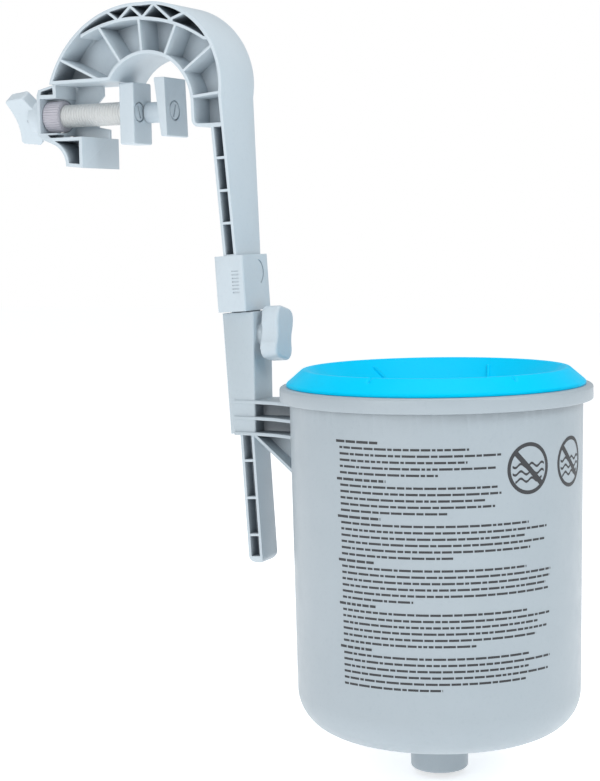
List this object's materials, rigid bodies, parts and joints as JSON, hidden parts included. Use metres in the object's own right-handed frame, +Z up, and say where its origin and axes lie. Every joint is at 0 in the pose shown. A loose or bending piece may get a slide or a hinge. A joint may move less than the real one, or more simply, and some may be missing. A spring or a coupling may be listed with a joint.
{
  "type": "wall-mounted pool surface skimmer",
  "caption": "Pool skimmer that hangs from the pool wall: hooked arm with a screw clamp, sliding bracket, bucket with bottom hose outlet, strainer basket and floating funnel cover.",
  "frame": {"origin": "middle of the wall seat, the flat end of the hook that lies on the water side of the pool wall", "axes": "+X from the pool wall over the water to the bucket, +Y along the wall, +Z up along the bucket's axis"},
  "size_m": [0.4269, 0.204, 0.5135],
  "materials": {
    "grey_plastic": "satin moulded polypropylene",
    "bucket_plastic": "satin moulded polypropylene",
    "blue_plastic": "satin bright blue",
    "screw_plastic": "off-white nylon",
    "nut_plastic": "mauve grey nylon",
    "basket_plastic": "pale translucent grey",
    "foam": "closed-cell foam",
    "rubber": "black rubber",
    "steel": "stainless",
    "brass": "plain"
  },
  "bodies": {
    "hook": {"hook_arm": "grey_plastic", "arm_collar": "grey_plastic", "collar_button": "grey_plastic", "lower_bar": "grey_plastic", "clamp_nut": "nut_plastic"},
    "pads": {"clamp_pad": "grey_plastic", "spacer_pad": "grey_plastic", "spacer_stem": "nut_plastic", "pad_plug": "nut_plastic", "spacer_plug": "nut_plastic"},
    "screw": {"clamp_screw": "screw_plastic", "clamp_knob": "grey_plastic", "knob_pin": "steel"},
    "skimmer": {"bucket": "bucket_plastic", "bucket_bracket": "bucket_plastic", "hose_outlet": "bucket_plastic", "outlet_gasket": "rubber", "outlet_nut": "bucket_plastic", "lock_insert": "brass"},
    "shoe": {"pressure_shoe": "rubber"},
    "lock": {"lock_stud": "steel", "lock_knob": "grey_plastic"},
    "basket": {"strainer_basket": "basket_plastic"},
    "cover": {"floating_cover": "blue_plastic", "float_ring": "foam"}
  },
  "joints": [
    {"name": "height_slide", "type": "slide", "parent": "hook", "child": "skimmer", "axis": [-0.0567, 0, 0.9984], "range_m": [-0.085, 0]},
    {"name": "clamp_travel", "type": "slide", "parent": "hook", "child": "pads", "axis": [1, 0, 0], "range_m": [-0.0176, 0]},
    {"name": "clamp_turn", "type": "hinge", "parent": "pads", "child": "screw", "pos_m": [-0.1, 0, 0], "axis": [1, 0, 0], "range_deg": [-2880, 0]},
    {"name": "lock_travel", "type": "slide", "parent": "skimmer", "child": "shoe", "axis": [0.9984, 0, 0.0567], "range_m": [0, 0.00125]},
    {"name": "lock_turn", "type": "hinge", "parent": "shoe", "child": "lock", "pos_m": [0.02768, 0, -0.15485], "axis": [0.9984, 0, 0.0567], "range_deg": [0, 360]},
    {"name": "basket_lift", "type": "slide", "parent": "skimmer", "child": "basket", "axis": [0, 0, 1], "range_m": [0, 0.17]},
    {"name": "cover_lift", "type": "slide", "parent": "basket", "child": "cover", "axis": [0, 0, 1], "range_m": [0, 0.055]}
  ],
  "couplings": [
    {"joint": "clamp_turn", "follows": "clamp_travel", "rad_per_m": 2856},
    {"joint": "lock_travel", "follows": "lock_turn", "m_per_rad": 0.00019894}
  ]
}
